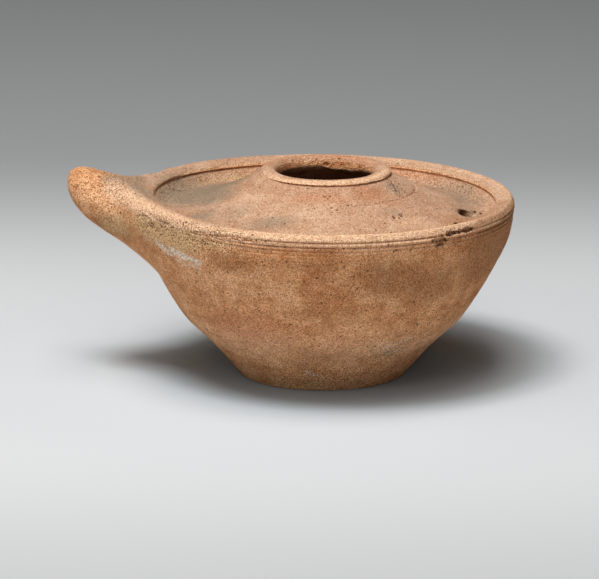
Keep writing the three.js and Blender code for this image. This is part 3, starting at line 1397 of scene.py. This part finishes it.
@dataclass
class Dressing:
    """Where each stain, painted shade and painted highlight lies on the lamp, and the masks that carry them.
    """

    CREASE = "crease"
    seed: int = 7
    marks: dict[Stain, tuple[Patch | Band, ...]] = field(default_factory=lambda: {
        # The whitish crust by the lug's root, on the wall, by the foot and low at the right
        Stain.LIME: (
            Patch((-47, -26.9, 44.6), (2.6, 2.6, 2), 0.95, (-42.9, -31.5, 42)),
            Patch((-43, -32.5, 43.6), (2.6, 2.6, 2), 1, (-35.3, -39.8, 41.8)),
            Patch((-50, -21.5, 46), (2.5, 2.5, 1.8), 0.85),
            Patch((-41, -33, 40.6), (2.4, 2.4, 1.4), 0.8, (-35, -39, 39.8)),
            Patch((-40, -36, 42), (9, 9, 5), 0.35),
            Patch((-5.2, -30, 7.4), (2.6, 2.6, 1.8), 0.8, (-1.9, -28.9, 5.8)),
            Patch((-7, -36.5, 14.4), (3.4, 3.4, 1.8), 0.62, (-3.6, -37.2, 14.2)),
            Patch((18.6, -34, 15.6), (3.2, 3.2, 2.8), 0.78, (23.6, -33, 17.8)),
            Patch((-19.2, -49.5, 40.5), (4, 4, 4), 0.4),
            Patch((-30, -38, 27), (5, 5, 5), 0.35),
            Patch((22, -33, 16.5), (6, 5, 4), 0.62),
            Patch((-2, -29.5, 5.5), (9, 4, 2.2), 0.62),
        ),
        # The grey-green film on the lid's left half and by the drain hole
        Stain.OLIVE: (
            Patch((-38, 12, 49.5), (12, 18, 7), 1.1, (-26, 16, 52)),
            Patch((-31, -2, 52), (9, 10, 5), 0.9),
            Patch((-35, -17, 50.5), (8, 7, 4), 0.6),
            Patch((-16.5, -31.5, 51.3), (11, 5, 3), 0.62),
            Patch((-26, -22, 51.5), (9, 7, 4), 0.45),
            Patch((41, 8, 48.2), (4, 9, 3), 0.5),
        ),
        # The sandy skin where the lug meets the wall, at the lid's back edge and over the foot
        Stain.TAN: (
            Patch((-50, -23, 48.5), (9, 8, 5), 1.1, (-40, -36, 48.5)),
            Patch((-32, -43, 48.5), (9, 8, 2.6), 0.6),
            Patch((-58, -10, 46), (8, 6, 5), 0.8),
            Band(47.2, 48.2, (2.2, 1.3), (75, 170), 12, 0.7),
            Patch((-4, -26, 2.5), (26, 10, 3), 0.45),
        ),
        # Pale clay, and painted highlight on the rim, lip, the ridge between the grooves and the lug, and
        # painted light over the lower wall
        Stain.CREAM: (
            Patch((-60, -9, 57), (5, 5, 3.5), 0.7, (-53, -18, 53)),
            Patch((-53, -18, 53), (4.5, 4.5, 2.2), 1.1, (-44, -32, 52.4)),
            Band(54.6, 52.1, (1.7, 1.1), (-150, -52), 22, 1.2),
            Band(55.2, 50.05, (0.9, 0.3), (-128, -30), 12, 1.2),
            Band(18.6, 60.2, (1.3, 1), (-150, -10), 20, 0.9),
            Band(53, 52.4, (2.2, 1.2), (2, 115), 20, 0.42),
            Band(38, 15, (15, 10), (-180, 180), 10, 0.34),
            Band(48.6, 49.8, (2, 1.5), (15, 80), 15, 0.3),
            Patch((26, -26, 50.5), (12, 8, 4), 0.4),
            Patch((-43, -33, 52.4), (9, 9, 2), 1.3),
            Patch((26.3, -30, 16.6), (6, 6, 4), 0.35),
        ),
        # The warmer, redder clay
        Stain.RED: (
            Band(48.6, 49.8, (1.4, 1.3), (20, 80), 15, 0.7),
            Band(16.4, 60.2, (2.6, 2.4), (20, 170), 20, 0.55),
            Patch((14, -19, 56), (10, 5, 4), 0.6),
            Patch((0, -23, 56.2), (14, 3.6, 2.6), 0.55),
            Band(37, 15, (14, 8), (-180, 180), 10, 0.16),
            Patch((-33, -33, 30), (12, 10, 8), 0.4),
            Patch((-20, -36, 21), (18, 14, 9), 0.7),
            Patch((6, -38, 19), (16, 10, 3), 0.4),
            Patch((42, -36, 49.4), (3, 3, 1.6), 1.2),
            Patch((6.3, -25.2, 1.9), (9, 4, 2.4), 0.9),
            Patch((22.6, -22, 7.6), (4, 6, 6), 1),
        ),
        # The grey bloom on the top of the lug's root, the lid's right half and low on the wall
        Stain.GREY: (
            Patch((-57, -4, 55.5), (7, 6, 5), 1.5, (-50.4, -10, 54.5)),
            Patch((-57.5, 7, 54), (6, 8, 5), 1.2),
            Patch((41, 20, 48.4), (7, 15, 2.6), 0.9),
            Patch((31, 28, 48.8), (13, 8, 2.6), 0.8),
            Patch((42, -4, 48.5), (6, 9, 3), 0.75),
            Patch((20.8, -10.5, 56.9), (3, 3.4, 3), 1),
            Patch((20, -24, 52.5), (4, 3, 2), 0.6),
            Patch((45, 12, 47.6), (4, 9, 2), 0.65),
            Patch((19.4, -30.6, 13.2), (4, 4, 2.4), 0.7),
        ),
        # Browner clay round the pit, and painted shade on the wall's right end and the underside of the lug
        Stain.BROWN: (
            Patch((-44, -33, 50.4), (4, 4, 0.7), 0.55, (-33, -43.5, 50.4)),
            Patch((46, -24, 40), (16, 18, 9), 1),
            Patch((30, -41, 36), (14, 11, 8), 0.8, (17, -50, 40)),
            Patch((-6.6, -53.7, 44.5), (26, 5, 3.4), 0.55),
            Patch((-61.5, -9.8, 44.5), (10, 7, 4.5), 1.2),
            Patch((0, -42, 28), (14, 14, 5), 0.5),
            Patch((-24, -46, 44), (12, 8, 4), 0.8),
            Patch((32.7, -44.4, 48.8), (3, 3, 2), 0.6),
            Patch((47, -24, 42), (15, 17, 9), 1.5),
            Patch((13, -18, 57), (8, 6, 3), 0.5),
            Patch((-18, -25, 8), (9, 8, 5), 0.3),
        ),
        # Where the sand in the clay shows most
        Stain.GRIT: (
            Patch((-49, -24, 49.5), (9, 9, 3.6), 1.3, (-30, -45, 49.5)),
            Patch((-62, -4, 55), (12, 9, 8), 0.7),
            Band(46.8, 48.2, (2.4, 1.4), (5, 170), 12, 1),
            Patch((32.7, -44.4, 49), (3.4, 3.4, 2.4), 0.5),
            Patch((0, -27, 4.5), (24, 9, 6), 0.8),
            Patch((19.5, -31, 13), (7, 7, 5), 1.1),
        ),
        # Painted shade: the black in the crack, the pits, the chips and the scratches, where shade falls
        # into them
        Stain.SOOT: (
            Patch((34.7, -43, 50.95), (0.6, 0.6, 0.62), 1, (36.6, -41.4, 50.8)),
            Patch((36.6, -41.4, 50.8), (0.5, 0.5, 0.42), 0.85, (39.4, -38.9, 50.75)),
            Patch((39.4, -38.9, 50.8), (0.6, 0.6, 0.66), 1, (41.8, -36, 50.65)),
            Patch((30.9, -45.8, 49.7), (0.7, 0.7, 0.5), 0.35),
            Patch((31.6, -45.3, 47.5), (0.5, 0.5, 0.4), 0.45, (33, -44.3, 47.8)),
            Patch((34.6, -43, 48.6), (0.4, 0.4, 0.9), 0.4),
            Patch((20.1, -26.4, 51.2), (0.55, 0.7, 1.1), 1),
            Patch((22.1, -24.4, 51.5), (0.6, 0.7, 1.1), 1),
            Patch((43.1, -2.6, 47.9), (0.5, 0.8, 0.8), 0.6),
            Patch((44.2, -1.9, 47.6), (0.6, 0.9, 0.9), 0.8),
            Patch((45.9, -2.9, 47.4), (0.5, 0.9, 0.9), 0.8),
            Patch((19.5, -7.2, 58.2), (0.28, 0.3, 0.3), 0.75, (20.3, -10.2, 57)),
            Patch((20.3, -9, 57.4), (0.28, 0.3, 0.3), 0.75, (21.2, -13.6, 55.7)),
            Patch((21.9, -11.4, 56), (0.25, 0.3, 0.3), 0.5, (22.4, -15.2, 54.7)),
        ),
    })
    hidden_stains: tuple[tuple[Stain, int, float], ...] = (
        (Stain.RED, 6, 0.7), (Stain.LIME, 6, 0.6), (Stain.TAN, 5, 0.8))
    wall_heights: tuple[float, ...] = (3, 6, 11, 18, 25, 33, 40, 48)
    wall_radii: tuple[float, ...] = (27, 29, 34, 41, 46, 50, 53, 55)
    chamber: Zone = Zone((-1.0, 40.0), (-1.0, 40.0))
    throat: Zone = Zone((-1.0, 14.4), (-1.0, 57.2))
    chamber_shade: float = 1.0
    throat_shade: float = 0.12
    throat_height: float = 53.0
    crease_reach: float = 0.2
    crease_most: float = 1.5
    crease_gain: float = 3.0

    def hidden_side(self) -> list[tuple[Stain, Patch]]:
        """Scatter stains like the visible ones over the back, in a fixed random order.

        Returns:
            Each stain with its patch.
        """
        chance = random.Random(self.seed)
        found = []
        for stain, count, strength in self.hidden_stains:
            for _ in range(count):
                turn = math.radians(chance.uniform(10, 165))
                height = chance.uniform(6, 48)
                radius = np.interp(height, self.wall_heights, self.wall_radii)
                middle = (radius * math.cos(turn), radius * math.sin(turn), height)
                wide = chance.uniform(3, 6) if stain is Stain.LIME else chance.uniform(8, 16)
                reach = (wide, wide, wide * 0.45)
                found.append((stain, Patch(middle, reach, strength * chance.uniform(0.6, 1.1))))
        return found

    def crease(self, piece: bpy.types.Object) -> np.ndarray:
        """Measure how hollow or proud the mesh is.

        Args:
            piece: The lamp.

        Returns:
            One value for each vertex, above 0 where it is hollow and below 0 where it is proud.
        """
        places, normals = Workshop.places(piece), Workshop.normals(piece)
        first, second = Workshop.ends(piece).T
        span = places[second] - places[first]
        length = np.linalg.norm(span, axis=1) + 1e-9
        total, count = np.zeros(len(places)), np.zeros(len(places))
        for start, sign in ((first, 1.0), (second, -1.0)):
            slope = (sign * span * normals[start]).sum(axis=1) / length
            np.add.at(total, start, slope * np.minimum(length / self.crease_reach, self.crease_most))
            np.add.at(count, start, 1.0)
        bend = total / np.maximum(count, 1.0)
        for _ in range(2):
            spread = np.zeros(len(places))
            np.add.at(spread, first, bend[second])
            np.add.at(spread, second, bend[first])
            bend = 0.5 * bend + 0.5 * spread / np.maximum(count, 1.0)
        return np.clip(bend * self.crease_gain, -1.0, 1.0)

    def dark_inside(self, places: Places, up: np.ndarray) -> np.ndarray:
        """Work out the painted shade inside the oil chamber and the throat.

        Args:
            places: Vertices in millimetres.
            up: How far each one faces up.

        Returns:
            One share for each, 0 on the outside.
        """
        inside = (up > -0.2) & self.chamber.holds(places) | self.throat.holds(places)
        return np.where(places[:, 2] > self.throat_height, self.throat_shade, self.chamber_shade) * inside

    def dress(self, piece: bpy.types.Object, finish: TerracottaFinish, drain: DrainHole) -> None:
        """Write the masks on the piece and give it the finish.

        Args:
            piece: The lamp.
            finish: The clay's finish.
            drain: The drain hole, which is dark inside.
        """
        places = Workshop.places(piece)
        up = Workshop.normals(piece)[:, 2]
        laid = [(stain, mark) for stain, marks in self.marks.items() for mark in marks]
        masks = {stain.value: np.zeros(len(places)) for stain in Stain}
        for stain, mark in laid + self.hidden_side():
            masks[stain.value] = np.maximum(masks[stain.value], mark.mask(places))
        on_top = smoothstep(up, 0.1, 0.7) * smoothstep(places[:, 2], 44, 47)
        masks[Stain.TOP.value] = on_top * (polar(places)[0] < 56)
        # Painted shade inside the chamber, the throat and the drain hole, on the same mask as the shade in
        # the crack and pits
        for shade in (self.dark_inside(places, up), drain.inside(places)):
            masks[Stain.SOOT.value] = np.maximum(masks[Stain.SOOT.value], shade)
        masks[self.CREASE] = self.crease(piece)
        for name, values in masks.items():
            layer = piece.data.attributes.new(name, "FLOAT", "POINT")
            layer.data.foreach_set("value", values.astype(np.float32))
        piece.data.materials.clear()
        piece.data.materials.append(finish.material())
        LOG.info("dressed %s with %d masks", piece.name, len(masks))


@dataclass(frozen=True)
class SoftLamp:
    """A square lamp: its turn about the piece and its height in degrees, its size and its power."""

    turn: float
    up: float
    size: float
    watts: float
    reach: float = 1.2

    def hang(self, name: str, aim: Vector) -> None:
        """Hang the lamp and aim it.

        Args:
            name: The lamp's name.
            aim: What it points at.
        """
        data = bpy.data.lights.new(name, "AREA")
        data.size = self.size
        data.energy = self.watts
        lamp = bpy.data.objects.new(name, data)
        turn, up = math.radians(self.turn), math.radians(self.up)
        outward = Vector((math.cos(turn) * math.cos(up), math.sin(turn) * math.cos(up), math.sin(up)))
        lamp.location = aim + outward * self.reach
        lamp.rotation_euler = (aim - lamp.location).to_track_quat("-Z", "Y").to_euler()
        bpy.context.scene.collection.objects.link(lamp)


@dataclass
class Studio:
    """A pale floor, soft lamps and the camera. Lengths of the camera are in millimetres."""

    target: tuple[float, float, float] = (-6.745, 0.0, 23.976)
    distance: float = 1170.0
    elevation: float = math.radians(14.0)
    lens: float = 240.4
    sensor: float = 36.0
    aim: tuple[float, float, float] = (0.0, 0.0, 0.03)
    floor_size: float = 8.0
    floor_grey: float = 0.67
    # far_grey and front_grey paint the light's falloff towards the back and the front of the floor
    far_grey: float = 0.375
    front_grey: float = 0.52
    paper: Colour = (0.985, 0.994, 1.0)
    fade_behind: Pair = (0.09, 0.315)
    fade_before: Pair = (-0.23, -0.08)
    # Painted cool cast near the lamp against the clay's warm bounce light, and a painted contact shadow
    # round its foot
    painted_cool_cast: Colour = (0.93, 0.99, 1.02)
    cool_cast_reach: Pair = (0.03, 0.14)
    painted_contact_shadow: Colour = (0.62, 0.69, 0.73)
    contact_shadow_reach: Pair = (0.03, 0.066)
    lamps: tuple[SoftLamp, ...] = (
        SoftLamp(225, 70, 0.35, 8.5),
        SoftLamp(270, 70, 0.35, 3.7),
        SoftLamp(0, 89, 0.40, 2.0),
        SoftLamp(270, 50, 0.40, 1.3),
        SoftLamp(225, 25, 0.60, 1.0),
        SoftLamp(180, 25, 0.60, 0.56),
        SoftLamp(180, 70, 0.35, 0.92),
        SoftLamp(280, 18, 0.60, 2.0),
    )

    def camera(self) -> None:
        """Stand the camera in front of the lamp, looking a little down on it."""
        data = bpy.data.cameras.new("camera")
        data.lens = self.lens
        data.sensor_width = self.sensor
        data.sensor_fit = "HORIZONTAL"
        data.clip_end = 50.0
        camera = bpy.data.objects.new("camera", data)
        back = self.distance * math.cos(self.elevation)
        up = self.distance * math.sin(self.elevation)
        x, y, z = self.target
        camera.location = (x * MM, (y - back) * MM, (z + up) * MM)
        camera.rotation_euler = (math.pi / 2 - self.elevation, 0, 0)
        bpy.context.scene.collection.objects.link(camera)
        bpy.context.scene.camera = camera

    def floor(self) -> None:
        """Lay the floor, with painted light falloff towards the back and the front as over a lit sweep of
        paper, a painted contact shadow round the lamp's foot and a painted cool cast near it.
        """
        Workshop.clear()
        bpy.ops.mesh.primitive_plane_add(size=self.floor_size, location=(0, 0, 0))
        floor = bpy.context.object
        floor.name = "floor"
        bench = Bench("floor_paper")
        across = bench.add("ShaderNodeSeparateXYZ", {}, {"Vector": bench.place()}, "Y")
        greys = (self.floor_grey, self.far_grey, self.front_grey)
        near, far, front = (tuple(grey * part for part in self.paper) for grey in greys)
        behind = bench.blend(across.step(*self.fade_behind), near, far)
        tone = bench.blend(across.step(*self.fade_before), front, behind)
        away = bench.add("ShaderNodeVectorMath", {"operation": "LENGTH"}, {0: bench.place()}, "Value")
        # Paint the cool cast near the lamp, then the contact shadow round its foot
        for reach, tint in ((self.cool_cast_reach, self.painted_cool_cast), (self.contact_shadow_reach, self.painted_contact_shadow)):
            tone = bench.tint(tone, bench.blend(away.step(*reach), tint, WHITE))
        bench.finish({"Base Color": tone, "Roughness": 0.9, "Specular IOR Level": 0.1})
        floor.data.materials.append(bench.material)

    def lights(self) -> None:
        """Hang the lamps and give the room no light of its own."""
        for number, lamp in enumerate(self.lamps):
            lamp.hang(f"lamp_{number}", Vector(self.aim))
        world = bpy.data.worlds.new("surround")
        world.use_nodes = True
        world.node_tree.nodes["Background"].inputs["Strength"].default_value = 0.0
        bpy.context.scene.world = world
        bpy.context.scene.view_settings.view_transform = "Standard"

    def build(self) -> None:
        """Set up the whole studio."""
        self.camera()
        self.floor()
        self.lights()


def main() -> None:
    """Build the lamp, dress it, attach it to the root, hide the imported part and set up the studio."""
    logging.basicConfig(level=logging.INFO)
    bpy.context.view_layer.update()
    lamp = Lamp()
    piece = lamp.build()
    LOG.info("piece %s: %d faces", piece.name, len(piece.data.polygons))
    Dressing().dress(piece, TerracottaFinish(), lamp.drain)
    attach(piece, "root")
    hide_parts(NODE)
    Studio().build()


if __name__ == "__main__":
    main()
